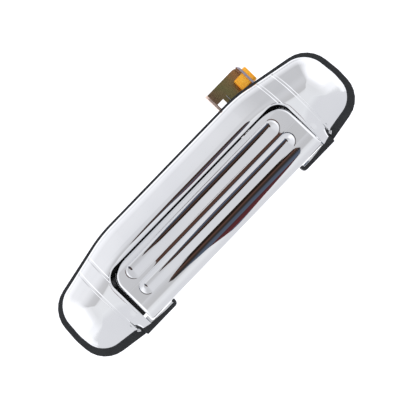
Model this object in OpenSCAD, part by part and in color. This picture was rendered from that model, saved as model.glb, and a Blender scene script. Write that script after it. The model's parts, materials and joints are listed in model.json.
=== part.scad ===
// Exterior car door handle with a hinged pull paddle and a release lever.
// Millimetres. X runs along the handle, Z is up, the front faces -Y and the door skin is at y = 0.
// The origin is midway between the two mounting studs, on the door skin.

/* [Housing] */
// Half length of the chrome housing
housing_half = 117.2; // [116:0.2:119]
// Height of the housing's top edge
housing_top = 32.8; // [32:0.2:34]
// Depth of the long ridge over the paddle
ridge_depth = 19.8; // [19:0.2:22]
// Depth of the end pads
pad_depth = 16.5; // [16:0.2:18]
// Wall of the housing
wall = 2.5; // [2.2:0.1:2.8]

/* [Gasket] */
// Thickness of the rubber gasket
gasket_t = 2.2; // [1.6:0.1:2.4]
// How far the gasket stands out past the housing at the ends
gasket_out = 3.3; // [2:0.1:4]

/* [Paddle] */
// Left end of the paddle, which has the wider gap
paddle_left = -75.9; // [-76.4:0.1:-75.8]
// Right end of the paddle
paddle_right = 77.9; // [77.2:0.1:78]
// Height of the paddle's top edge
paddle_top = 11.5; // [11:0.1:11.7]
// Height of the paddle's bottom edge
paddle_bottom = -28.2; // [-28.4:0.1:-27]
// Depth of the paddle's flat back
paddle_back = 11.3; // [11.2:0.1:11.6]

/* [Release lever] */
// Height of the lever's top edge
lever_top = 47.6; // [44:0.2:52]
// Left side of the lever
lever_left = 49; // [48.6:0.1:49.4]
// Width of the lever over its flanges
lever_w = 29.2; // [28.8:0.1:29.6]
// Sheet thickness of the lever
lever_t = 1.5; // [1.2:0.1:1.6]

/* [Mounting] */
// Distance between the two studs
stud_spacing = 194; // [192:1:196]
// Radius of the M6 studs
stud_r = 3; // [3:0.5:4]
// How far the studs stand out behind the door skin
stud_reach = 26; // [18:1:34]

/* [Hidden] */
$fn = 48;

// Hinge axis of the paddle and pivot axis of the lever, both along X
hinge_y = -12;
hinge_z = 6.5;
pivot_y = 4;
pivot_z = 0;

// Radius of the studs' press shoulder in the base plate
shoulder_r = stud_r + 0.3;

// Clearance of fits that don't turn, and of those that do
fixed_fit = 0.02;
running_fit = 0.05;

// Window in the housing for the paddle
window_half = 78.7;
window_top = paddle_top + 0.9;
window_corner = 10;
paddle_corner = 12;

// The hooks that reach under the paddle from both sides
hook_tip = 58.2;
hook_root = 84.2;
hook_top = -28.4;
hook_bottom = -29.9;
gasket_hook_bottom = -32.3;
hook_front = 8.5;

// Base plate
plate_front = -5;
plate_t = 1.5;
plate_back = plate_front + plate_t;
plate_gap = 0.1;
finger_half = 69.5;
finger_top = 1;
stop_x = 73;
stop_z = -8;
stem_r = 1.4;

// Hinge parts
pin_r = 1.5;
lug_r = 3.4;
lug_t = 2.2;
bush_r = 2.3;
boss_r = 4.5;
boss_end = 90;
coil_inner = 68.6;
coil_outer = 73.4;

// Pull arm on the back of the paddle
arm_x = 49.9;
arm_w = 5;
arm_t = 1.5;
arm_knob_r = 2;
arm_knob_y = -9.8;
arm_knob_z = 17;

// Lever and its bracket
ear_t = 1.5;
ear_left = 56.4;
ear_right = 72.1;
lever_pin_r = 2;
lever_bush_r = 3.4;
lever_right = lever_left + lever_w;
lever_front = 4;
lever_back = 17.5;
lobe_r = 5.5;
web_bottom = 13;
nose_front = -6.4;
nose_bottom = 9;
nose_top = 20;
lever_stop_x = lever_right - lever_t / 2;
lever_stop_z = 21;
clip_y = 9.5;
clip_z = 37;
clip_r = 4;
rod_r = 2;

// Screws: shank radius and head
screw_r = 1.5;
head_r = 2.8;
head_h = 2;
plate_screw_spots = [[-106, 10], [106, 10], [-62, 22], [62, 22]];
bracket_screw_spots = [[61.6, 10], [68, 10]];
arm_screw_spots = [[arm_x, -8], [arm_x, 3]];

// Points of a round corner at b between a and c, radius r
function unit(v) = v / norm(v);
function corner(a, b, c, r, steps) =
    let (u = unit(a - b), v = unit(c - b))
    let (half = acos(u * v) / 2)
    let (middle = b + unit(u + v) * r / sin(half))
    let (p = b + u * r / tan(half) - middle, q = b + v * r / tan(half) - middle)
    let (from = atan2(p[1], p[0]), turn = (atan2(q[1], q[0]) - from + 540) % 360 - 180)
    [for (i = [0:steps]) middle + r * [cos(from + turn * i / steps), sin(from + turn * i / steps)]];
function at(pts, i) = let (p = pts[(i + len(pts)) % len(pts)]) [p[0], p[1]];
// Closed outline with each vertex [x, y, radius] rounded
function rounded(pts, steps = 6) = [
    for (i = [0:len(pts) - 1])
        each pts[i][2] > 0
            ? corner(at(pts, i - 1), at(pts, i), at(pts, i + 1), pts[i][2], steps)
            : [at(pts, i)]
];
// A right-hand half outline and its mirror image, as one closed outline
function both_halves(pts) = concat(
    pts,
    [for (i = [len(pts) - 1:-1:0]) [-pts[i][0], pts[i][1], pts[i][2]]]
);
// Front outline of the housing, moved in by i on every side
function housing_outline(i) = rounded(both_halves([
    [62, housing_top - i, 90],
    [housing_half - 2.2 - i, 21.6 - i, 18 - i / 2],
    [housing_half - i, -2.5, 30],
    [housing_half - 1.6 - i, -21.6 + i, 16 - i / 2],
    [hook_root, -26 + i, 0]
]));
// Front outline of the gasket
function gasket_outline() = rounded(both_halves([
    [62, housing_top + 1.3, 90],
    [housing_half + gasket_out - 2.1, 22.9, 20],
    [housing_half + gasket_out + 0.1, -2.5, 30],
    [housing_half + gasket_out - 1.1, -25.7, 19],
    [hook_root, -31.4, 0]
]));

// Extrudes an X-Z outline from y = front to y = back
module slab(outline, front, back) {
    translate([0, back, 0])
        rotate([90, 0, 0])
            linear_extrude(back - front)
                polygon(outline);
}
// Extrudes a Y-Z outline from x = left to x = right
module bar(outline, left, right) {
    translate([left, 0, 0])
        rotate([90, 0, 90])
            linear_extrude(right - left)
                polygon(outline);
}
// Box between two corners
module box(low, high) {
    translate(low) cube(high - low);
}
// Cylinder along X on the point [y, z]
module rod_x(left, right, y, z, r) {
    translate([left, y, z])
        rotate([0, 90, 0])
            cylinder(r = r, h = right - left);
}
// Cylinder along Y on the point [x, z]
module rod_y(front, back, x, z, r) {
    translate([x, back, z])
        rotate([90, 0, 0])
            cylinder(r = r, h = back - front);
}
// The part and its mirror image across the middle
module both_sides() {
    children();
    mirror([1, 0, 0]) children();
}

// Outer form of the housing, moved in by i
module housing_form(i) {
    back = -gasket_t;
    hull() {
        slab(housing_outline(i), -5 + i, back);
        slab(housing_outline(i + 4.4), -10 + i, back);
        slab([[-94 + i, 14], [94 - i, 14], [94 - i, 16.6 - i / 2], [-94 + i, 16.6 - i / 2]],
             -ridge_depth + i, back);
        slab([[-97 + i, -15 + i], [97 - i, -15 + i], [97 - i, 2], [-97 + i, 2]],
             -pad_depth + i, back);
    }
}
// Opening for the paddle, wider by i and open at the bottom
module window(i, front, back) {
    slab(rounded([
        [-window_half - i, -40, 0],
        [-window_half - i, window_top + i, window_corner + i],
        [window_half + i, window_top + i, window_corner + i],
        [window_half + i, -40, 0]
    ]), front, back);
}

module hook() {
    box([hook_tip + 1.6, -hook_front, hook_bottom], [hook_root, -gasket_t, hook_top]);
    box([window_half - 1.9, -hook_front, hook_top - 1], [hook_root, -gasket_t, -23.9]);
}

module housing() {
    seat = plate_front - plate_gap;
    color([0.88, 0.89, 0.91]) {
        both_sides() hook();
        difference() {
            union() {
                difference() {
                    housing_form(0);
                    difference() {
                        housing_form(wall);
                        window(wall, -30, 1);
                    }
                }
                intersection() {
                    housing_form(wall / 2);
                    for (p = plate_screw_spots)
                        rod_y(-18, seat, p[0], p[1], 3.6);
                }
                both_sides() {
                    rod_x(window_half + 1, boss_end, hinge_y, hinge_z, boss_r);
                }
            }
            window(0, -30, 1);
            // room behind the front lip for the paddle's turning top edge
            box([-window_half, -15.9, -5], [window_half, 1, 16.4]);
            // seat for the base plate
            slab(housing_outline(3), seat, 1);
            both_sides() rod_x(window_half - 1, boss_end + 1, hinge_y, hinge_z, pin_r + fixed_fit);
            for (p = plate_screw_spots)
                rod_y(-11, 1, p[0], p[1], screw_r + fixed_fit);
        }
    }
}

module gasket() {
    color([0.09, 0.095, 0.1]) {
        difference() {
            slab(gasket_outline(), -gasket_t, 0);
            slab(housing_outline(3), -4, 1);
            box([-hook_root, -9, -60], [hook_root, 1, 0]);
        }
        both_sides()
            slab(rounded([
                [hook_root + 1, gasket_hook_bottom, 0],
                [hook_tip, gasket_hook_bottom, 2],
                [hook_tip, hook_top + 0.1, 0.6],
                [hook_tip + 1.55, hook_top + 0.1, 0],
                [hook_tip + 1.55, hook_bottom - 0.05, 0],
                [hook_root + 1, hook_bottom - 0.05, 0]
            ]), -hook_front, 0);
    }
}

module base_plate() {
    color([0.07, 0.07, 0.075])
    difference() {
        slab(housing_outline(3.2), plate_front, plate_back);
        box([-finger_half, -9, -40], [finger_half, 1, finger_top]);
        box([-hook_root - 1, -9, -40], [hook_root + 1, 1, -22]);
        // slot for the lever's nose and the pull arm
        box([arm_x - 3.9, -9, 7], [arm_x + 3.9, 1, 40]);
        for (p = plate_screw_spots)
            rod_y(-9, 1, p[0], p[1], screw_r + 0.2);
        for (p = bracket_screw_spots)
            rod_y(-9, 1, p[0], p[1], screw_r + fixed_fit);
        both_sides() {
            rod_y(-9, 1, stud_spacing / 2, 0, shoulder_r + fixed_fit);
            rod_y(-9, 1, stop_x, stop_z, stem_r + fixed_fit);
        }
        rod_y(-9, 1, lever_stop_x, lever_stop_z, stem_r + fixed_fit);
    }
}

module pan_screw(x, z, face, tip) {
    rod_y(tip, face + 0.01, x, z, screw_r);
    difference() {
        rod_y(face, face + head_h, x, z, head_r);
        box([x - 2, face + 1, z - 0.4], [x + 2, face + 3, z + 0.4]);
        box([x - 0.4, face + 1, z - 2], [x + 0.4, face + 3, z + 2]);
    }
}

module plate_screws() {
    color([0.75, 0.76, 0.78])
    for (p = plate_screw_spots)
        pan_screw(p[0], p[1], plate_back, -10.5);
}

module mounting_studs() {
    color([0.72, 0.7, 0.6])
    both_sides() {
        x = stud_spacing / 2;
        rod_y(plate_front - 0.01, 0, x, 0, shoulder_r);
        rod_y(-0.01, stud_reach - 1, x, 0, stud_r);
        translate([x, stud_reach - 1, 0])
            rotate([-90, 0, 0])
                cylinder(r1 = stud_r, r2 = stud_r - 0.9, h = 1);
        rod_y(plate_front - 2.6, plate_front, x, 0, 5);
    }
}

module stud_seal(x) {
    color([0.1, 0.1, 0.11])
    difference() {
        rod_y(plate_back, 0, x, 0, 8.5);
        rod_y(plate_back - 1, 1, x, 0, shoulder_r + 0.1);
    }
}
module stud_seal_left() { stud_seal(-stud_spacing / 2); }
module stud_seal_right() { stud_seal(stud_spacing / 2); }

module hinge_pin() {
    difference() {
        rod_x(coil_inner - lug_t, boss_end + 2, hinge_y, hinge_z, pin_r);
        // groove for the clip
        difference() {
            rod_x(boss_end + 0.2, boss_end + 0.9, hinge_y, hinge_z, pin_r + 1);
            rod_x(boss_end, boss_end + 1, hinge_y, hinge_z, pin_r - 0.4);
        }
    }
}
module hinge_pin_left() { color([0.78, 0.79, 0.8]) mirror([1, 0, 0]) hinge_pin(); }
module hinge_pin_right() { color([0.78, 0.79, 0.8]) hinge_pin(); }

// Retaining clip for a groove of radius r on an X pin, open downwards
module e_clip(x, y, z, r) {
    difference() {
        rod_x(x, x + 0.6, y, z, r + 1.7);
        rod_x(x - 1, x + 2, y, z, r);
        box([x - 1, y - r * 0.8, z - r - 4], [x + 2, y + r * 0.8, z]);
    }
}
module hinge_clips() {
    color([0.35, 0.36, 0.38])
    both_sides() e_clip(boss_end + 0.25, hinge_y, hinge_z, pin_r - 0.4);
}

module closed_stop(x) {
    color([0.12, 0.12, 0.12]) {
        rod_y(-paddle_back + 0.15, plate_front, x, stop_z, 2.7);
        rod_y(plate_front - 0.01, plate_back + 0.01, x, stop_z, stem_r);
        rod_y(plate_back, plate_back + 1, x, stop_z, 2.2);
    }
}
module closed_stop_left() { closed_stop(-stop_x); }
module closed_stop_right() { closed_stop(stop_x); }

// Section of the paddle, before its flutes are cut: [y, z, radius]
function paddle_section() = rounded([
    [-paddle_back, paddle_top, 0],
    [-16.4, paddle_top, 0.6],
    [-18.1, 7.9, 0.5],
    [-19.1, -4.6, 0],
    [-20, -17.5, 5],
    [-19.7, -24.8, 5],
    [-16.4, paddle_bottom, 3.5],
    [-paddle_back, paddle_bottom, 1.2],
    [-paddle_back, -25, 0.6],
    [-14.6, -22.5, 2],
    [-14.6, -14, 2],
    [-paddle_back, -11, 0.6]
]);

// Outer and inner lug on the hinge axis, at the paddle's end x = end
module paddle_lugs(end) {
    rod_x(end - lug_t, end, hinge_y, hinge_z, lug_r);
    rod_x(coil_inner - lug_t, coil_inner - 0.2, hinge_y, hinge_z, lug_r);
}
// Their bores, with the room for the spring between them
module paddle_bores(end) {
    rod_x(coil_inner - 0.2, end - lug_t, hinge_y, hinge_z, lug_r + 0.3);
    rod_x(coil_inner - lug_t - 0.4, coil_inner, hinge_y, hinge_z, pin_r + running_fit);
    rod_x(end - lug_t - 1, end + 1, hinge_y, hinge_z, bush_r + fixed_fit);
}
module paddle() {
    color([0.9, 0.91, 0.93])
    difference() {
        union() {
            intersection() {
                bar(paddle_section(), paddle_left, paddle_right);
                slab(rounded([
                    [paddle_left, paddle_bottom - 1, 3],
                    [paddle_left, paddle_top, paddle_corner],
                    [paddle_right, paddle_top, paddle_corner],
                    [paddle_right, paddle_bottom - 1, 3]
                ]), -30, 0);
            }
            mirror([1, 0, 0]) paddle_lugs(-paddle_left);
            paddle_lugs(paddle_right);
        }
        // the two long flutes
        rod_x(-64, 64, -22.8, 2.6, 6.2);
        rod_x(-65, 65, -23.8, -10.2, 6.6);
        mirror([1, 0, 0]) paddle_bores(-paddle_left);
        paddle_bores(paddle_right);
        for (p = arm_screw_spots)
            rod_y(-14.2, -9, p[0], p[1], screw_r + fixed_fit);
    }
}

// Rubber strip on the paddle's top edge that closes the gap behind the housing's lip
module paddle_seal() {
    color([0.12, 0.12, 0.12])
    box([-64, -paddle_back - 0.9, paddle_top], [64, -paddle_back - 0.05, paddle_top + 3]);
}

// Flanged bush in an outer lug; its flange fills the gap beside the paddle's end
module pivot_bush(end) {
    difference() {
        union() {
            rod_x(end - lug_t, end, hinge_y, hinge_z, bush_r);
            rod_x(end, window_half - 0.15, hinge_y, hinge_z, lug_r);
        }
        rod_x(end - 5, end + 5, hinge_y, hinge_z, pin_r + running_fit);
    }
}
module pivot_bush_left() { color([0.1, 0.1, 0.1]) mirror([1, 0, 0]) pivot_bush(-paddle_left); }
module pivot_bush_right() { color([0.1, 0.1, 0.1]) pivot_bush(paddle_right); }

// Coil round the left hinge pin with a leg on the base plate and a leg on the paddle
module paddle_spring() {
    color([0.5, 0.51, 0.53]) {
        difference() {
            rod_x(-coil_outer, -coil_inner, hinge_y, hinge_z, 2.9);
            rod_x(-coil_outer - 1, -coil_inner + 1, hinge_y, hinge_z, 2);
        }
        rod_y(hinge_y + 1, plate_front - 0.1, -coil_outer + 0.6, hinge_z + 2.45, 0.45);
        translate([-coil_inner - 0.6, hinge_y + 2.45, hinge_z - 15])
            cylinder(r = 0.45, h = 14);
    }
}

module pull_arm() {
    color([0.74, 0.72, 0.62])
    difference() {
        union() {
            box([arm_x - arm_w / 2, -paddle_back, -13],
                [arm_x + arm_w / 2, -paddle_back + arm_t, arm_knob_z]);
            rod_x(arm_x - arm_w / 2, arm_x + arm_w / 2, arm_knob_y, arm_knob_z, arm_knob_r);
        }
        for (p = arm_screw_spots)
            rod_y(-20, 0, p[0], p[1], screw_r + 0.1);
    }
}
module pull_arm_screws() {
    color([0.75, 0.76, 0.78])
    for (p = arm_screw_spots)
        difference() {
            union() {
                rod_y(-13.8, -paddle_back + arm_t + 0.01, p[0], p[1], screw_r);
                rod_y(-paddle_back + arm_t, -paddle_back + arm_t + 1.2, p[0], p[1], 2.4);
            }
            box([p[0] - 1.8, -9.4, p[1] - 0.35], [p[0] + 1.8, -5, p[1] + 0.35]);
        }
}

module lever_bracket() {
    color([0.76, 0.7, 0.45])
    difference() {
        union() {
            box([ear_left, plate_back, 3], [ear_right, plate_back + ear_t, 14.6]);
            for (x = [ear_left, ear_right - ear_t]) {
                box([x, plate_back, 1.5], [x + ear_t, pivot_y, 9]);
                rod_x(x, x + ear_t, pivot_y, pivot_z, 5);
            }
        }
        rod_x(ear_left - 1, ear_right + 1, pivot_y, pivot_z, lever_pin_r + fixed_fit);
        for (p = bracket_screw_spots)
            rod_y(-9, 6, p[0], p[1], screw_r + 0.1);
    }
}
module bracket_screws() {
    color([0.75, 0.76, 0.78])
    for (p = bracket_screw_spots)
        pan_screw(p[0], p[1], plate_back + ear_t, -7);
}

module lever_pin() {
    color([0.78, 0.79, 0.8])
    difference() {
        rod_x(lever_left - 2.4, lever_right + 2.4, pivot_y, pivot_z, lever_pin_r);
        for (x = [lever_left - 1.6, lever_right + 0.9])
            difference() {
                rod_x(x, x + 0.7, pivot_y, pivot_z, lever_pin_r + 1);
                rod_x(x - 1, x + 2, pivot_y, pivot_z, lever_pin_r - 0.4);
            }
    }
}
module lever_clips() {
    color([0.35, 0.36, 0.38])
    for (x = [lever_left - 1.55, lever_right + 0.95])
        e_clip(x, pivot_y, pivot_z, lever_pin_r - 0.4);
}

// Bush in a lever flange with a spacer that reaches to the bracket's ear
module lever_bush(outer, inner, ear) {
    difference() {
        union() {
            rod_x(min(outer, inner), max(outer, inner), pivot_y, pivot_z, lever_bush_r);
            rod_x(min(inner, ear), max(inner, ear), pivot_y, pivot_z, lever_bush_r + 1);
        }
        rod_x(lever_left - 9, lever_right + 9, pivot_y, pivot_z, lever_pin_r + running_fit);
    }
}
module lever_bush_left() {
    color([0.1, 0.1, 0.1])
    lever_bush(lever_left - 0.5, lever_left + lever_t, ear_left - 0.1);
}
module lever_bush_right() {
    color([0.1, 0.1, 0.1])
    lever_bush(lever_right + 0.5, lever_right - lever_t, ear_right + 0.1);
}

module lever_stop() {
    color([0.12, 0.12, 0.12]) {
        rod_y(plate_back, lever_front - 0.15, lever_stop_x, lever_stop_z, 3.2);
        rod_y(plate_front - 1, plate_back + 0.01, lever_stop_x, lever_stop_z, stem_r);
    }
}

// Side outline of the lever with its nose: [y, z, radius]
function lever_outline() = rounded([
    [lever_back, lever_top, 1],
    [lever_back, web_bottom, 3],
    [pivot_y + lobe_r, pivot_z - lobe_r, lobe_r - 0.3],
    [pivot_y - lobe_r, pivot_z - lobe_r, lobe_r - 0.3],
    [pivot_y - lobe_r, nose_bottom - 2, 1],
    [nose_front, nose_bottom, 0],
    [nose_front, nose_top, 1],
    [lever_front, nose_top + 2, 2],
    [lever_front, lever_top, 4]
]);
module release_lever() {
    color([0.72, 0.62, 0.3])
    difference() {
        bar(lever_outline(), lever_left, lever_right);
        // inside of the channel, and the open part below the web
        box([lever_left + lever_t, -20, -20], [lever_right - lever_t, lever_back - lever_t, 60]);
        box([lever_left + lever_t, -20, -20], [lever_right - lever_t, lever_back + 9, web_bottom + 1]);
        // only the left flange has a nose
        box([lever_right - lever_t - 1, -20, nose_bottom - 2], [lever_right + 1, lever_front, 60]);
        rod_x(lever_left - 5, lever_right + 5, pivot_y, pivot_z, lever_bush_r + fixed_fit);
        rod_x(lever_right - 5, lever_right + 5, clip_y, clip_z, clip_r);
        // notch that leaves room for the spring's leg
        box([lever_left + 2.8, lever_back - 5, 20], [lever_left + 8, lever_back + 1, 38.7]);
        // round corner over the clip
        slab(concat(
            [[lever_right - 4, lever_top + 1]],
            [for (a = [90:-15:0]) [lever_right - 4 + 4 * cos(a), lever_top - 4 + 4 * sin(a)]],
            [[lever_right + 1, lever_top - 4], [lever_right + 1, lever_top + 1]]
        ), -1, lever_back + 1);
    }
}

module lever_nose_cap() {
    color([0.1, 0.1, 0.1])
    difference() {
        box([lever_left - 0.8, nose_front - 0.9, nose_bottom + 0.3],
            [lever_left + lever_t + 0.8, -3, nose_top - 0.3]);
        box([lever_left - fixed_fit, nose_front, nose_bottom - 1],
            [lever_left + lever_t + fixed_fit, 1, nose_top + 1]);
    }
}

// Coil round the lever pin with one leg down to the bracket and one up the lever's web
module lever_spring() {
    lean = 10.9;
    color([0.6, 0.6, 0.62]) {
        difference() {
            rod_x(59.4, 70.4, pivot_y, pivot_z, 4.3);
            rod_x(58, 72, pivot_y, pivot_z, 3.1);
        }
        rod_y(plate_back + ear_t + 0.1, pivot_y, 69.8, pivot_z + 3.7, 0.6);
        translate([60, pivot_y + 3.6, pivot_z])
            rotate([-lean, 0, 0])
                cylinder(r = 0.6, h = 39.4);
    }
}

module rod_clip() {
    outer = lever_right + 0.1;
    color([1, 0.6, 0.12])
    difference() {
        union() {
            rod_x(lever_right - 8.6, outer + 1, clip_y, clip_z, clip_r - 0.05);
            box([lever_right - 8.6, clip_y - 4.2, clip_z - 4],
                [lever_right - lever_t - 0.1, clip_y + 4.2, clip_z + 4]);
            bar(rounded([
                [clip_y - 5.6, clip_z - 5.4, 2.5],
                [clip_y + 5.2, clip_z - 5.4, 2.5],
                [clip_y + 5.2, clip_z + 6, 2.5],
                [clip_y - 5.6, clip_z + 6, 2.5]
            ]), outer, outer + 2.6);
        }
        rod_x(lever_right - 20, outer + 10, clip_y, clip_z, rod_r);
    }
}

housing();
gasket();
base_plate();
plate_screws();
mounting_studs();
stud_seal_left();
stud_seal_right();
hinge_pin_left();
hinge_pin_right();
hinge_clips();
closed_stop_left();
closed_stop_right();
paddle();
paddle_seal();
pivot_bush_left();
pivot_bush_right();
paddle_spring();
pull_arm();
pull_arm_screws();
lever_bracket();
bracket_screws();
lever_pin();
lever_clips();
lever_bush_left();
lever_bush_right();
lever_stop();
release_lever();
lever_nose_cap();
lever_spring();
rod_clip();
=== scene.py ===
import json
import math
import bpy
import numpy as np
from mathutils import Matrix, Vector


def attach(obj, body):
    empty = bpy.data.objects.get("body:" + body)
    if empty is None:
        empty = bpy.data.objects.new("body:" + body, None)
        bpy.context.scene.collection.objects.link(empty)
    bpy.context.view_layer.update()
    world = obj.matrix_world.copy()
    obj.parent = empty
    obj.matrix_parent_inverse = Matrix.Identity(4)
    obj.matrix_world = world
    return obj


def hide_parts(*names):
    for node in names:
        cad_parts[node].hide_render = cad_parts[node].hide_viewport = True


MM = 0.001
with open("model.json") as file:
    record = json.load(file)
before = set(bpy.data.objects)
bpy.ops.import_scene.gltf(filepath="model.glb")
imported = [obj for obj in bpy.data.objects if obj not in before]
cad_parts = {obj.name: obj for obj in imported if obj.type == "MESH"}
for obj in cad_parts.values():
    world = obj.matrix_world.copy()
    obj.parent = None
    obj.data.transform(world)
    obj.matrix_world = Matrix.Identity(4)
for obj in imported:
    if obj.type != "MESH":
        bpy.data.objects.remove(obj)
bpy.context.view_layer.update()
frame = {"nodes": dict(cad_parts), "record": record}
nodes = frame["nodes"]
scene = bpy.context.scene
scene.view_settings.view_transform = "Standard"
scene.view_settings.look = "None"


# ---------------------------------------------------------------- materials

def new_material(name, roughness, metallic=0.0, specular=0.5):
    """A Principled material, its node tree and its shader."""
    mat = bpy.data.materials.new(name)
    mat.use_nodes = True
    tree = mat.node_tree
    shader = tree.nodes["Principled BSDF"]
    shader.inputs["Roughness"].default_value = roughness
    shader.inputs["Metallic"].default_value = metallic
    shader.inputs["Specular IOR Level"].default_value = specular
    return mat, tree, shader


def noise(tree, scale, detail):
    """A noise texture over the object's own coordinates, in metres; returns its value socket."""
    coords = tree.nodes.new("ShaderNodeTexCoord")
    tex = tree.nodes.new("ShaderNodeTexNoise")
    tex.inputs["Scale"].default_value = scale
    tex.inputs["Detail"].default_value = detail
    tree.links.new(coords.outputs["Object"], tex.inputs["Vector"])
    return tex.outputs["Fac"]


def ramp(tree, value, stops):
    """A colour ramp over value; stops are (position, colour)."""
    node = tree.nodes.new("ShaderNodeValToRGB")
    elements = node.color_ramp.elements
    while len(elements) < len(stops):
        elements.new(0.5)
    for element, (position, colour) in zip(elements, stops):
        element.position = position
        element.color = (*colour, 1)
    tree.links.new(value, node.inputs["Fac"])
    return node.outputs["Color"]


def vary(tree, value, low, high, socket):
    """Drives a socket with value, mapped from 0..1 to low..high."""
    node = tree.nodes.new("ShaderNodeMapRange")
    node.inputs["To Min"].default_value = low
    node.inputs["To Max"].default_value = high
    tree.links.new(value, node.inputs["Value"])
    tree.links.new(node.outputs["Result"], socket)


def scaled(tree, value, low, high):
    """Value mapped from low..high to 0..1, clamped."""
    node = tree.nodes.new("ShaderNodeMapRange")
    node.inputs["From Min"].default_value = low
    node.inputs["From Max"].default_value = high
    tree.links.new(value, node.inputs["Value"])
    return node.outputs["Result"]


def mixed(tree, factor, a, b):
    """Colour a where factor is 0 and colour b where it is 1."""
    node = tree.nodes.new("ShaderNodeMix")
    node.data_type = "RGBA"
    tree.links.new(factor, node.inputs["Factor"])
    tree.links.new(a, node.inputs["A"])
    tree.links.new(b, node.inputs["B"])
    return node.outputs["Result"]


def axes_of(tree, coordinates):
    """X, Y and Z sockets of one of the texture coordinates."""
    coords = tree.nodes.new("ShaderNodeTexCoord")
    split = tree.nodes.new("ShaderNodeSeparateXYZ")
    tree.links.new(coords.outputs[coordinates], split.inputs["Vector"])
    return split.outputs


def bump(tree, shader, value, strength, distance):
    """Bumps the shader's normal by value."""
    node = tree.nodes.new("ShaderNodeBump")
    node.inputs["Strength"].default_value = strength
    node.inputs["Distance"].default_value = distance
    tree.links.new(value, node.inputs["Height"])
    tree.links.new(node.outputs["Normal"], shader.inputs["Normal"])


def chrome_material():
    mat, tree, shader = new_material("chrome", 0.04, metallic=1.0)
    tint = ramp(tree, noise(tree, 25, 2), [(0.3, (0.86, 0.87, 0.885)), (0.7, (0.93, 0.935, 0.94))])
    tree.links.new(tint, shader.inputs["Base Color"])
    vary(tree, noise(tree, 120, 4), 0.008, 0.03, shader.inputs["Roughness"])
    bump(tree, shader, noise(tree, 60, 2), 0.04, 0.0002)
    return mat


def rubber_material(name, colour, roughness, grain):
    mat, tree, shader = new_material(name, roughness, specular=0.4)
    light = tuple(c * 1.5 for c in colour)
    tint = ramp(tree, noise(tree, 180, 4), [(0.35, colour), (0.75, light)])
    tree.links.new(tint, shader.inputs["Base Color"])
    vary(tree, noise(tree, 400, 3), roughness - 0.08, roughness + 0.1, shader.inputs["Roughness"])
    bump(tree, shader, noise(tree, 1800, 3), 0.35, grain)
    return mat


def coated_steel_material():
    mat, tree, shader = new_material("black_steel", 0.42, specular=0.4)
    stops = [(0.4, (0.006, 0.006, 0.007)), (0.7, (0.014, 0.014, 0.015))]
    tint = ramp(tree, noise(tree, 300, 4), stops)
    tree.links.new(tint, shader.inputs["Base Color"])
    bump(tree, shader, noise(tree, 2500, 3), 0.2, 0.00005)
    return mat


def plated_material(name, stops, roughness, scale):
    """Bright plate or bare wire: a cloudy tint with a fine grain."""
    mat, tree, shader = new_material(name, roughness, metallic=1.0)
    tint = ramp(tree, noise(tree, scale, 3), stops)
    tree.links.new(tint, shader.inputs["Base Color"])
    vary(tree, noise(tree, 600, 3), roughness - 0.07, roughness + 0.12, shader.inputs["Roughness"])
    bump(tree, shader, noise(tree, 900, 2), 0.12, 0.00006)
    return mat


def yellow_zinc_material():
    """Iridescent passivated plate.

    Its tint drifts along X, plum over olive to copper across the lever and gold beyond it, and the
    lever's two flanges are paler, cream on the left and lavender on the right."""
    mat, tree, shader = new_material("yellow_zinc", 0.25, metallic=1.0)
    x = axes_of(tree, "Object")["X"]
    along = tree.nodes.new("ShaderNodeMath")
    along.operation = "MULTIPLY_ADD"
    along.inputs[1].default_value = 20.0
    along.inputs[2].default_value = -0.93
    tree.links.new(x, along.inputs[0])
    total = tree.nodes.new("ShaderNodeMath")
    total.operation = "MULTIPLY_ADD"
    total.inputs[1].default_value = 0.3
    tree.links.new(noise(tree, 90, 2), total.inputs[0])
    tree.links.new(along.outputs["Value"], total.inputs[2])
    tint = ramp(tree, total.outputs["Value"], [
        (0.0, (0.66, 0.48, 0.20)), (0.14, (0.36, 0.19, 0.16)), (0.30, (0.36, 0.25, 0.14)),
        (0.43, (0.32, 0.29, 0.13)), (0.55, (0.38, 0.28, 0.13)), (0.68, (0.56, 0.29, 0.12)),
        (0.80, (0.64, 0.36, 0.15)), (1.0, (0.66, 0.50, 0.22))])
    place = scaled(tree, x, 0.045, 0.082)
    on_flange = ramp(tree, place, [
        (0.10, (0, 0, 0)), (0.105, (1, 1, 1)), (0.145, (1, 1, 1)), (0.16, (0, 0, 0)),
        (0.85, (0, 0, 0)), (0.86, (1, 1, 1)), (0.90, (1, 1, 1)), (0.905, (0, 0, 0))])
    flange_tint = ramp(tree, place, [(0.4, (0.92, 0.72, 0.62)), (0.6, (0.66, 0.60, 0.68))])
    tree.links.new(mixed(tree, on_flange, tint, flange_tint), shader.inputs["Base Color"])
    vary(tree, noise(tree, 600, 3), 0.16, 0.34, shader.inputs["Roughness"])
    bump(tree, shader, noise(tree, 700, 2), 0.1, 0.00005)
    return mat


def plastic_material(name, dark, light, roughness, glow=0.0):
    mat, tree, shader = new_material(name, roughness, specular=0.5)
    tint = ramp(tree, noise(tree, 150, 3), [(0.35, dark), (0.7, light)])
    tree.links.new(tint, shader.inputs["Base Color"])
    # glow is painted light: an emission that keeps the plastic's colour bright in shade; zero gives
    # none
    shader.inputs["Emission Color"].default_value = (*light, 1)
    shader.inputs["Emission Strength"].default_value = glow
    shader.inputs["Subsurface Weight"].default_value = 0.15
    shader.inputs["Subsurface Radius"].default_value = (0.002, 0.001, 0.0005)
    bump(tree, shader, noise(tree, 1500, 3), 0.15, 0.00006)
    return mat


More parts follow.
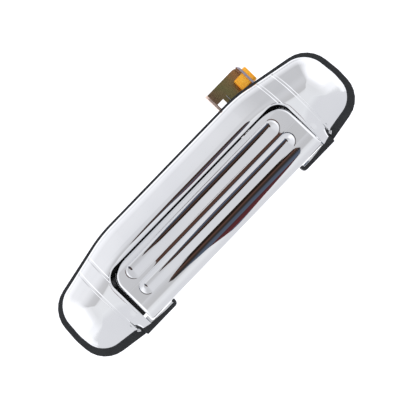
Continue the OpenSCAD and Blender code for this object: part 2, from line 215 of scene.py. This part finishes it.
MATERIALS = {
    "chrome": chrome_material(),
    "gasket_rubber": rubber_material("gasket_rubber", (0.02, 0.022, 0.024), 0.5, 0.00012),
    "black_steel": coated_steel_material(),
    "bright_zinc": plated_material(
        "bright_zinc", [(0.3, (0.55, 0.57, 0.6)), (0.7, (0.72, 0.73, 0.74))], 0.26, 200),
    "yellow_zinc": yellow_zinc_material(),
    "spring_steel": plated_material(
        "spring_steel", [(0.3, (0.40, 0.41, 0.44)), (0.7, (0.62, 0.62, 0.63))], 0.24, 300),
    "nylon": plastic_material("nylon", (0.02, 0.02, 0.022), (0.035, 0.035, 0.037), 0.45),
    # the orange plastic's faint glow of 0.22 is painted light that holds its colour in the shade
    "orange_plastic": plastic_material(
        "orange_plastic", (0.95, 0.38, 0.015), (1.0, 0.50, 0.04), 0.3, glow=0.22),
}


# ---------------------------------------------------------------- geometry helpers, in millimetres

def smoothstep(low, high, v):
    t = np.clip((v - low) / (high - low), 0, 1)
    return t * t * (3 - 2 * t)


def smooth_min(a, b, k):
    t = np.clip(0.5 + 0.5 * (b - a) / k, 0, 1)
    return b * (1 - t) + a * t - k * t * (1 - t)


def rounded(corners, steps=14):
    """Closed outline with each corner (x, z, radius) rounded by an arc."""
    out = []
    count = len(corners)
    for i, (x, z, r) in enumerate(corners):
        here = np.array([x, z])
        if r <= 0:
            out.append(here)
            continue
        u = np.array(corners[i - 1][:2]) - here
        v = np.array(corners[(i + 1) % count][:2]) - here
        u = u / np.linalg.norm(u)
        v = v / np.linalg.norm(v)
        half = math.acos(float(u @ v)) / 2
        middle = here + (u + v) / np.linalg.norm(u + v) * r / math.sin(half)
        p = here + u * r / math.tan(half) - middle
        q = here + v * r / math.tan(half) - middle
        start = math.atan2(p[1], p[0])
        turn = (math.atan2(q[1], q[0]) - start + 3 * math.pi) % (2 * math.pi) - math.pi
        for k in range(steps + 1):
            a = start + turn * k / steps
            out.append(middle + r * np.array([math.cos(a), math.sin(a)]))
    return np.array(out)


def both_halves(corners):
    return corners + [(-x, z, r) for x, z, r in reversed(corners)]


def signed_distance(x, z, outline):
    """Distance to a closed outline, negative inside it."""
    a = outline
    b = np.roll(outline, -1, axis=0)
    out = np.empty(x.size)
    px, pz = x.ravel(), z.ravel()
    for first in range(0, px.size, 20000):
        qx = px[first:first + 20000, None]
        qz = pz[first:first + 20000, None]
        ex, ez = (b - a)[:, 0], (b - a)[:, 1]
        t = ((qx - a[:, 0]) * ex + (qz - a[:, 1]) * ez) / (ex * ex + ez * ez + 1e-12)
        t = np.clip(t, 0, 1)
        d = np.hypot(qx - a[:, 0] - t * ex, qz - a[:, 1] - t * ez).min(axis=1)
        spans = (a[:, 1] > qz) != (b[:, 1] > qz)
        crossing = a[:, 0] + (qz - a[:, 1]) * ex / np.where(ez == 0, 1e-12, ez)
        inside = (spans & (qx < crossing)).sum(axis=1) % 2 == 1
        out[first:first + 20000] = np.where(inside, -d, d)
    return out.reshape(x.shape)


def add_mesh(name, verts, faces, slot, body, replaces=(), normals=None, smooth=True):
    """A piece from vertices in millimetres; it rides on a body and takes a slot's material."""
    mesh = bpy.data.meshes.new(name)
    mesh.from_pydata([tuple(float(c) * MM for c in v) for v in verts], [], faces)
    mesh.validate()
    mesh.update()
    if smooth:
        mesh.shade_smooth()
    if normals is not None and len(normals) == len(mesh.loops):
        mesh.normals_split_custom_set([tuple(n) for n in normals])
    obj = bpy.data.objects.new(name, mesh)
    scene.collection.objects.link(obj)
    mesh.materials.append(MATERIALS[slot])
    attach(obj, body)
    if replaces:
        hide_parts(*replaces)
    return obj


def shell_from_height(name, xs, zs, region, front, back, slot, body, replaces):
    """A closed shell over the part of a grid where region(x, z) < 0.

    Its front is at y = -front(x, z) and its back at y = -back(x, z). The normals come from the
    height functions, so reflections run smoothly over the whole surface."""
    gx, gz = np.meshgrid(xs, zs, indexing="ij")
    g = region(gx, gz)
    nx, nz = gx.shape
    points = []
    grid_id = -np.ones((nx, nz), int)
    inside = g < 0
    for i, j in np.argwhere(inside):
        grid_id[i, j] = len(points)
        points.append((gx[i, j], gz[i, j]))
    edges = {}
    for di, dj in ((1, 0), (0, 1)):
        a_in = inside[:nx - di, :nz - dj]
        b_in = inside[di:, dj:]
        for i, j in np.argwhere(a_in != b_in):
            edges[(i, j, i + di, j + dj)] = len(edges)
    keys = np.array(list(edges))
    ax, az = xs[keys[:, 0]], zs[keys[:, 1]]
    bx, bz = xs[keys[:, 2]], zs[keys[:, 3]]
    a_inside = inside[keys[:, 0], keys[:, 1]]
    low, high = np.zeros(len(keys)), np.ones(len(keys))
    for _ in range(14):
        t = (low + high) / 2
        hit = (region(ax + (bx - ax) * t, az + (bz - az) * t) < 0) == a_inside
        low = np.where(hit, t, low)
        high = np.where(hit, high, t)
    t = (low + high) / 2
    first_edge = len(points)
    points += list(zip(ax + (bx - ax) * t, az + (bz - az) * t))
    faces = []
    for i in range(nx - 1):
        for j in range(nz - 1):
            ring = ((i, j), (i + 1, j), (i + 1, j + 1), (i, j + 1))
            states = [inside[c] for c in ring]
            if not any(states):
                continue
            face = []
            for k in range(4):
                p, q = ring[k], ring[(k + 1) % 4]
                if inside[p]:
                    face.append(int(grid_id[p]))
                if inside[p] != inside[q]:
                    key = (*min(p, q), *max(p, q))
                    face.append(first_edge + edges[key])
            if len(face) >= 3:
                faces.append(face)
    pts = np.array(points)
    x, z = pts[:, 0], pts[:, 1]
    count = len(pts)
    step = 0.03

    def gradient(f):
        return ((f(x + step, z) - f(x - step, z)) / (2 * step),
                (f(x, z + step) - f(x, z - step)) / (2 * step))

    fx, fz = gradient(front)
    front_n = np.stack([-fx, -np.ones(count), -fz], axis=1)
    bx_, bz_ = gradient(back)
    back_n = np.stack([bx_, np.ones(count), bz_], axis=1)
    rx, rz = gradient(region)
    side_n = np.stack([rx, np.zeros(count), rz], axis=1)
    for n in (front_n, back_n, side_n):
        n /= np.linalg.norm(n, axis=1, keepdims=True) + 1e-12
    verts = [(px, -h, pz) for (px, pz), h in zip(points, front(x, z))]
    verts += [(px, -h, pz) for (px, pz), h in zip(points, back(x, z))]
    # counter-clockwise in x-z looks along +y, so the front faces -y
    used = {}
    for face in faces:
        used.update(dict.fromkeys(zip(face, face[1:] + face[:1])))
    all_faces = [list(f) for f in faces]
    normals = [front_n[v] for f in faces for v in f]
    for f in faces:
        turned = f[::-1]
        all_faces.append([v + count for v in turned])
        normals += [back_n[v] for v in turned]
    for a, b in used:
        if (b, a) not in used:
            all_faces.append([b, a, a + count, b + count])
            normals += [side_n[b], side_n[a], side_n[a], side_n[b]]
    return add_mesh(name, verts, all_faces, slot, body, replaces, normals)


def tube_along(name, path, r, slot, body, replaces):
    """A round wire along a list of points."""
    sides = 10
    path = [Vector(p) for p in path]
    verts, faces = [], []
    up = Vector((0, 0, 1))
    for k, p in enumerate(path):
        ahead = path[min(k + 1, len(path) - 1)] - path[max(k - 1, 0)]
        ahead.normalize()
        side = ahead.cross(up)
        if side.length < 0.2:
            side = ahead.cross(Vector((1, 0, 0)))
        side.normalize()
        up = side.cross(ahead).normalized()
        for s in range(sides):
            a = 2 * math.pi * s / sides
            verts.append(p + side * r * math.cos(a) + up * r * math.sin(a))
    for k in range(len(path) - 1):
        for s in range(sides):
            a, b = k * sides + s, k * sides + (s + 1) % sides
            faces.append([a, b, b + sides, a + sides])
    faces.append(list(range(sides))[::-1])
    faces.append([(len(path) - 1) * sides + s for s in range(sides)])
    return add_mesh(name, verts, faces, slot, body, replaces)


def extruded(name, outline, front, back, slot, body, bevel):
    """An x-z outline between y = front and y = back with rounded edges."""
    n = len(outline)
    verts = [(p[0], front, p[1]) for p in outline] + [(p[0], back, p[1]) for p in outline]
    faces = [list(range(n)), list(range(2 * n - 1, n - 1, -1))]
    faces += [[(k + 1) % n, k, k + n, (k + 1) % n + n] for k in range(n)]
    obj = add_mesh(name, verts, faces, slot, body, smooth=False)
    round_edges(obj, bevel)
    return obj


def round_edges(obj, width, segments=3):
    """Small rounded edges on a piece with flat faces."""
    mod = obj.modifiers.new("edges", "BEVEL")
    mod.width = width * MM
    mod.segments = segments
    mod.limit_method = "ANGLE"
    mod.angle_limit = math.radians(35)
    mod.harden_normals = True
    obj.data.shade_smooth()


# ---------------------------------------------------------------- housing

HOUSING = rounded(both_halves([
    (62, 32.8, 90), (115.0, 21.6, 18), (117.2, -2.5, 30), (115.6, -21.6, 16), (90, -25.4, 0),
    (84.5, -27.4, 0), (77, -29.2, 0)]))
WINDOW = rounded([(-78.7, -60, 0), (-78.7, 12.3, 10), (78.7, 12.3, 10), (78.7, -60, 0)])
RIM_W = 4.4
# The bands across the bar: where each begins, its width, the width of its edges and its depth
BANDS, BAND_W, BAND_EDGE, BAND_DEPTH = (76.1, 87.1), 1.8, 0.5, 0.35


def housing_region(x, z):
    return np.maximum(signed_distance(x, z, HOUSING), -signed_distance(x, z, WINDOW))


def housing_front(x, z):
    ax = np.abs(x)
    d = -signed_distance(x, z, HOUSING)
    w = signed_distance(x, z, WINDOW)
    edge = d
    # the chrome stands higher where the hooks' rubber covers its lower edge
    d = d + (6.5 - 0.3 * d) * (1 - smoothstep(82, 88.5, ax)) * smoothstep(-10, -20, z)
    foot = 1.5 * (1 - np.exp(-np.clip(d, 0, None) / 0.5))
    rim = 3.0 + 1.05 * d + 0.25 * np.clip(d - 2.2, 0, None) + foot
    run = d - RIM_W
    slope = 9.85 + (0.96 - 0.009 * np.clip(run, 0, 25)) * run
    over = 1 - smoothstep(62, 79, ax)
    lean = 0.11 + 0.31 * over
    face = 20.1 + 0.45 * over - lean * (15.7 - z) - 0.03 * np.clip(ax - 79, 0, None)
    body = smooth_min(slope, face, 3.6 + 3.0 * smoothstep(60, 92, ax))
    h = smooth_min(rim, body, 0.9)
    top = smoothstep(0, 12, z)
    width = 2.2 - 1.0 * top
    drop = 0.7 - 0.2 * top
    h = h - drop * np.clip(1 - w / width, 0, None) ** 2
    for left in BANDS:
        right = left + BAND_W
        band = smoothstep(left, left + BAND_EDGE, ax) - smoothstep(right, right + BAND_EDGE, ax)
        h = h - BAND_DEPTH * band * smoothstep(0.4, 2.0, edge)
    return h


def housing_back(x, z):
    front = housing_front(x, z)
    w = signed_distance(x, z, WINDOW)
    lip = (1 - smoothstep(1.0, 3.5, w)) * smoothstep(4, 8, z)
    h = np.maximum(front - 2.3 + 1.1 * lip, 2.2)
    wall = (1 - smoothstep(2.0, 2.8, w)) * (1 - smoothstep(-2, 4, z))
    return h * (1 - wall) + 5.0 * wall


def steps_between(low, high, step):
    return np.linspace(low, high, int(round((high - low) / step)) + 1)


def build_housing():
    half = [steps_between(0, 60, 1.5)[:-1], steps_between(60, 76, 0.8)[:-1],
            steps_between(76, 92, 0.25)[:-1], steps_between(92, 117.6, 0.5)]
    right = np.concatenate(half)
    xs = np.concatenate([-right[:0:-1], right]) + 0.003
    zs = np.concatenate([steps_between(-29.35, 11, 0.55)[:-1],
                         steps_between(11, 18.5, 0.2)[:-1],
                         steps_between(18.5, 33.2, 0.4)])
    shell_from_height("housing_shell", xs, zs, housing_region, housing_front, housing_back,
                      "chrome", "housing", ["housing"])
    for side, name in ((-1, "left"), (1, "right")):
        hook = rounded([(side * 79.3, -29.9, 0), (side * 59.8, -29.9, 0.4),
                        (side * 59.8, -28.4, 0.4), (side * 76.8, -28.4, 0.8),
                        (side * 76.8, -23.9, 0.8), (side * 79.3, -23.9, 0)], 6)
        cap = rounded([(side * 61.6, -32.3, 0), (side * 58.2, -32.3, 2.6),
                       (side * 57.6, -28.1, 0.6), (side * 59.7, -28.1, 0.3),
                       (side * 59.7, -30.0, 0), (side * 61.6, -30.0, 0)], 6)
        boot = rounded([(side * 85.4, -31.9, 0.4), (side * 81.0, -31.9, 0), (side * 81.0, -30.4, 0),
                        (side * 66.0, -30.2, 0), (side * 68.0, -29.6, 0), (side * 81.6, -28.2, 0.3),
                        (side * 85.4, -27.2, 0.2)], 4)
        tab = rounded([(side * 89.2, -26.4, 0.2), (side * 87.2, -27.9, 0.2),
                       (side * 86.5, -27.1, 0.2), (side * 88.5, -25.6, 0.2)], 4)
        if side > 0:
            hook = hook[::-1]
            cap = cap[::-1]
            boot = boot[::-1]
            tab = tab[::-1]
        extruded("housing_hook_" + name, hook, -8.5, -2.2, "chrome", "housing", 0.4)
        extruded("hook_cap_" + name, cap, -8.7, -0.2, "gasket_rubber", "housing", 0.3)
        extruded("hook_boot_" + name, boot, -8.8, -2.0, "gasket_rubber", "housing", 0.3)
        extruded("gasket_tab_" + name, tab, -4.4, -1.8, "chrome", "housing", 0.35)


# ---------------------------------------------------------------- paddle

PADDLE = rounded([(-75.9, -27.8, 2), (-75.9, 11.65, 12), (77.9, 11.65, 12), (77.9, -27.8, 2)])
# Slope of the fluted section from top to bottom: height z and tilt in degrees, positive faces up
SECTION = [
    (11.5, 26), (7.9, 24), (7.75, 12), (7.4, 9), (7.3, -75), (7.05, -75), (6.85, -25), (6.4, -12),
    (6.1, -3), (5.5, -0.5), (4.9, 1.5), (4.4, 6), (3.9, 8.5), (3.4, 10), (3.0, 15), (2.1, 21),
    (0.9, 24), (-1.6, 25), (-2.1, 20), (-2.4, 14), (-2.9, 12), (-3.5, 10.5), (-4.15, 9),
    (-4.8, 6), (-5.3, 3), (-5.6, -8), (-5.85, -60), (-6.15, -60), (-6.4, -28), (-7.8, -28),
    (-8.3, -14), (-8.6, -4), (-9.1, -0.5), (-9.7, 1.5), (-10.1, 6), (-10.5, 8.5), (-10.9, 10.5),
    (-11.2, 15), (-11.9, 21), (-12.8, 25), (-14.5, 26), (-15.15, 24), (-15.65, 18), (-16.4, 13),
    (-17.35, 9), (-18.3, 6), (-19.2, 3), (-21.1, -1), (-23.0, -6), (-24.9, -11), (-25.8, -16),
    (-26.65, -35), (-27.15, -60), (-27.9, -76)]
SECTION_TOP = 16.3
TOP_CREST, MID_CREST, LOW_CREST = 7.65, -4.6, -16.0


def blurred(values, width):
    """A running mean over an odd number of samples."""
    padded = np.pad(values, width // 2, mode="edge")
    return np.convolve(padded, np.ones(width) / width, mode="valid")


def section_table():
    """Heights of the fluted section and of the plain section without flutes, by z.

    There is a sample every 0.01 mm."""
    z = np.linspace(12.5, -29, 4151)
    tilt = np.interp(-z, [-p[0] for p in SECTION], [p[1] for p in SECTION])
    rise = blurred(np.tan(np.radians(tilt)), 25)
    fluted = SECTION_TOP + np.cumsum(rise) * (z[0] - z[1])
    fluted -= np.interp(-11.5, -z, fluted) - SECTION_TOP
    crests = [TOP_CREST, MID_CREST, LOW_CREST]
    heights = [float(np.interp(-c, -z, fluted)) for c in crests]
    between = (z < TOP_CREST) & (z > LOW_CREST)
    line = np.interp(-z, [-c for c in crests], heights)
    plain = np.where(between, np.maximum(line, fluted), fluted)
    return -z, fluted, blurred(plain, 81)


TABLE_Z, FLUTED, PLAIN = section_table()
# Each flute: height of its middle, half its width and where its round end reaches
FLUTES = [(2.4, 5.15, 67.1), (-10.6, 5.2, 68.2)]


def cut_depth(z):
    return np.clip(np.interp(-z, TABLE_Z, PLAIN - FLUTED), 0, None)


def paddle_region(x, z):
    return signed_distance(x, z, PADDLE)


def paddle_front(x, z):
    ax = np.abs(x)
    plain = np.interp(-z, TABLE_Z, PLAIN)
    fluted = np.interp(-z, TABLE_Z, FLUTED)
    h = np.where((z > TOP_CREST + 0.4) | (z < LOW_CREST - 0.4), fluted, plain)
    for middle, r, end in FLUTES:
        past = np.clip(ax - (end - r), 0, None)
        rho = np.hypot(past, z - middle)
        sine = np.where(rho > 1e-6, (z - middle) / np.maximum(rho, 1e-6), 0)
        upper = (1 + sine) / 2
        rounded_end = upper * cut_depth(middle + rho) + (1 - upper) * cut_depth(middle - rho)
        depth = np.where(past > 0, rounded_end, cut_depth(z))
        near = smoothstep(r + 0.6, r - 0.2, rho)
        h = h - depth * near
    s = -signed_distance(x, z, PADDLE)
    side = smoothstep(60, 72, ax)
    r = 0.5 + 1.9 * side
    t = np.clip(1 - s / r, 0, 0.97)
    at_bottom = smoothstep(-23, -26, z)
    return h - r * (1 - np.sqrt(1 - t * t)) * (1 - at_bottom * (1 - side))


def paddle_back(x, z):
    height = smoothstep(-11, -14, z) * (1 - smoothstep(-22.5, -25, z))
    return 11.3 + 3.0 * height * (1 - smoothstep(70, 74, np.abs(x)))


def build_paddle():
    half = [steps_between(0, 56, 1.4)[:-1], steps_between(56, 73, 0.35)[:-1],
            steps_between(73, 78.6, 0.2)]
    right = np.concatenate(half)
    xs = np.concatenate([-right[:0:-1], right]) + 0.003
    zs = np.concatenate([steps_between(-28.1, -6.6, 0.22)[:-1],
                         steps_between(-6.6, -5.4, 0.08)[:-1],
                         steps_between(-5.4, 6.7, 0.22)[:-1],
                         steps_between(6.7, 7.8, 0.08)[:-1],
                         steps_between(7.8, 11.8, 0.22)]) + 0.002
    shell_from_height("paddle_shell", xs, zs, paddle_region, paddle_front, paddle_back,
                      "chrome", "paddle", ["paddle"])


build_housing()
build_paddle()


# ---------------------------------------------------------------- springs

def coil(x0, x1, y, z, r, turns, start, end):
    """Points round an x axis from angle start to angle end (radians), with whole turns between."""
    total = 2 * math.pi * turns + end - start
    count = int(turns * 24)
    return [(x0 + (x1 - x0) * k / count,
             y + r * math.cos(start + total * k / count),
             z + r * math.sin(start + total * k / count)) for k in range(count + 1)]


def build_springs():
    hinge_y, hinge_z = -12, 6.5
    path = [(-72.8, -5.1, hinge_z + 2.45), (-72.8, hinge_y + 1.5, hinge_z + 2.45)]
    path += coil(-72.8, -69.2, hinge_y, hinge_z, 2.45, 4, math.pi / 2, 2 * math.pi)
    path += [(-69.2, hinge_y + 2.45, hinge_z - 2), (-69.2, hinge_y + 2.45, hinge_z - 15)]
    tube_along("paddle_spring_wire", path, 0.45, "spring_steel", "housing", ["paddle_spring"])
    pivot_y, pivot_z = 4, 0
    path = [(69.8, -1.8, pivot_z + 3.7), (69.8, pivot_y - 1, pivot_z + 3.7)]
    path += coil(69.8, 60.0, pivot_y, pivot_z, 3.7, 6, math.pi / 2, 2 * math.pi)
    path += [(60.0, pivot_y + 4.2, pivot_z + 3), (60.0, pivot_y + 11.1, pivot_z + 38.6)]
    tube_along("lever_spring_wire", path, 0.6, "spring_steel", "housing", ["lever_spring"])


build_springs()


# ---------------------------------------------------------------- CAD nodes that stay

def dress_cad():
    """Materials and small rounded edges on every CAD node that isn't replaced."""
    slots = {s["node"]: s["material_slot"] for s in frame["record"]["subparts"]}
    done = {"housing", "paddle", "paddle_spring", "lever_spring"}
    for name, obj in nodes.items():
        if name in done:
            continue
        obj.data.materials.clear()
        obj.data.materials.append(MATERIALS[slots[name]])
        round_edges(obj, 0.4 if name == "gasket" else 0.18, 2)


dress_cad()


# ---------------------------------------------------------------- floor, light and camera

def stage_plane(name, size, location, colour, glow, rotation=(0, 0, 0), camera=True):
    """A flat stage piece of one colour with a glow of another."""
    w, h = size
    mesh = bpy.data.meshes.new(name)
    corners = [(-w / 2, -h / 2, 0), (w / 2, -h / 2, 0), (w / 2, h / 2, 0), (-w / 2, h / 2, 0)]
    mesh.from_pydata(corners, [], [(0, 1, 2, 3)])
    obj = bpy.data.objects.new(name, mesh)
    scene.collection.objects.link(obj)
    obj.location = location
    obj.rotation_euler = rotation
    mat = bpy.data.materials.new(name)
    mat.use_nodes = True
    shader = mat.node_tree.nodes["Principled BSDF"]
    shader.inputs["Base Color"].default_value = (*colour, 1)
    shader.inputs["Roughness"].default_value = 0.9
    shader.inputs["Emission Color"].default_value = (*glow, 1)
    shader.inputs["Emission Strength"].default_value = 1.0
    mesh.materials.append(mat)
    obj.visible_camera = camera
    return obj


def build_world():
    """A soft grey studio, lighter at its sides, overhead on the left and behind the handle."""
    world = bpy.data.worlds.new("studio")
    scene.world = world
    world.use_nodes = True
    tree = world.node_tree
    background = tree.nodes["Background"]
    toward = axes_of(tree, "Generated")

    def grey(v):
        node = tree.nodes.new("ShaderNodeRGB")
        node.outputs["Color"].default_value = (v * 0.985, v * 0.99, v * 1.03, 1)
        return node.outputs["Color"]

    def both(a, b):
        node = tree.nodes.new("ShaderNodeMath")
        node.operation = "MULTIPLY"
        tree.links.new(a, node.inputs[0])
        tree.links.new(b, node.inputs[1])
        return node.outputs["Value"]

    # by height: pale below the horizon, mid grey just above it, paler again overhead
    tint = ramp(tree, scaled(tree, toward["Z"], -1, 1), [
        (0.0, (0.74, 0.745, 0.78)), (0.25, (0.72, 0.725, 0.76)), (0.38, (0.86, 0.87, 0.90)),
        (0.46, (0.80, 0.805, 0.83)), (0.50, (0.58, 0.58, 0.595)), (0.60, (0.60, 0.60, 0.62)),
        (0.80, (0.70, 0.705, 0.735)), (0.965, (0.69, 0.695, 0.725)), (1.0, (0.86, 0.865, 0.90))])
    above = scaled(tree, toward["Z"], -0.25, 0.0)
    overhead = scaled(tree, toward["Z"], 0.35, 0.8)
    for low, high, height, brightness in (
            (-0.05, 0.35, overhead, 0.60), (0.1, -0.42, overhead, 0.98),
            (-0.42, -0.8, above, 1.25), (0.5, 0.85, above, 1.2)):
        side = scaled(tree, toward["X"], low, high)
        tint = mixed(tree, both(side, height), tint, grey(brightness))
    behind = scaled(tree, toward["Y"], 0.12, 0.5)
    tint = mixed(tree, behind, tint, grey(1.3))
    tree.links.new(tint, background.inputs["Color"])
    background.inputs["Strength"].default_value = 1.0


# The picture's middle on the door skin plane, its scale, the handle's tilt and the view's angle
CENTRE = Vector((-1.24, 0, -3.84)) * MM
MM_PER_PIXEL = 0.64
ROLL = math.radians(46.0)
YAW = math.radians(-1.2)
PITCH = math.radians(-1.0)
LENS = 135
SENSOR = 36
FRAME_PIXELS = 416


def build_camera():
    data = bpy.data.cameras.new("camera")
    data.lens = LENS
    data.sensor_width = SENSOR
    data.clip_end = 50
    camera = bpy.data.objects.new("camera", data)
    scene.collection.objects.link(camera)
    distance = FRAME_PIXELS * MM_PER_PIXEL * MM * LENS / SENSOR
    away = Vector((math.sin(YAW) * math.cos(PITCH), -math.cos(YAW) * math.cos(PITCH),
                   math.sin(PITCH)))
    side = Vector((0, 0, 1)).cross(away).normalized()
    up = away.cross(side)
    right = side * math.cos(ROLL) - up * math.sin(ROLL)
    above = side * math.sin(ROLL) + up * math.cos(ROLL)
    turn = Matrix((right, above, away)).transposed().to_4x4()
    camera.matrix_world = Matrix.Translation(CENTRE + away * distance) @ turn
    scene.camera = camera


def reflected_card():
    """A dark lens-shaped card in front with soft bands of colour, seen only in the chrome."""
    card = stage_plane("dark_card", (0.2, 0.2), (0, -0.85, 0), (0, 0, 0), (0, 0, 0),
                       (math.radians(90), 0, 0), camera=False)
    outline = [(-0.078, 0.11), (-0.072, 0.03), (-0.045, -0.02), (-0.015, -0.12), (0.018, -0.36),
               (0.030, -0.39), (0.065, -0.30), (0.115, -0.20), (0.136, -0.12), (0.141, 0.06),
               (0.138, 0.30), (0.11, 0.44), (0.05, 0.50), (0.0, 0.48), (-0.05, 0.36),
               (-0.073, 0.20)]
    card.data.clear_geometry()
    card.data.from_pydata([(x, z, 0) for x, z in outline], [], [range(len(outline))])
    card.data.update()
    tree = card.active_material.node_tree
    shader = tree.nodes["Principled BSDF"]
    shader.inputs["Specular IOR Level"].default_value = 0
    # the bands of colour run along the card and waver a little
    total = tree.nodes.new("ShaderNodeMath")
    total.operation = "MULTIPLY_ADD"
    total.inputs[1].default_value = 0.07
    tree.links.new(noise(tree, 12, 2), total.inputs[0])
    tree.links.new(axes_of(tree, "Object")["Y"], total.inputs[2])
    tint = ramp(tree, scaled(tree, total.outputs["Value"], -0.34, 0.48), [
        (0.0, (0.10, 0.13, 0.19)), (0.05, (0.085, 0.11, 0.17)), (0.11, (0.12, 0.02, 0.02)),
        (0.20, (0.10, 0.03, 0.035)), (0.30, (0.08, 0.022, 0.025)), (0.34, (0.09, 0.12, 0.17)),
        (0.46, (0.08, 0.10, 0.145)), (0.52, (0.035, 0.03, 0.028)), (0.60, (0.045, 0.03, 0.025)),
        (0.68, (0.12, 0.06, 0.045)), (0.78, (0.02, 0.013, 0.010)), (0.90, (0.014, 0.010, 0.008)),
        (1.0, (0.10, 0.05, 0.035))])
    tree.links.new(tint, shader.inputs["Emission Color"])


build_world()
build_camera()
stage_plane("floor", (5, 5), (0, 0, -1.2), (0.12, 0.12, 0.12), (0.62, 0.625, 0.655))
reflected_card()
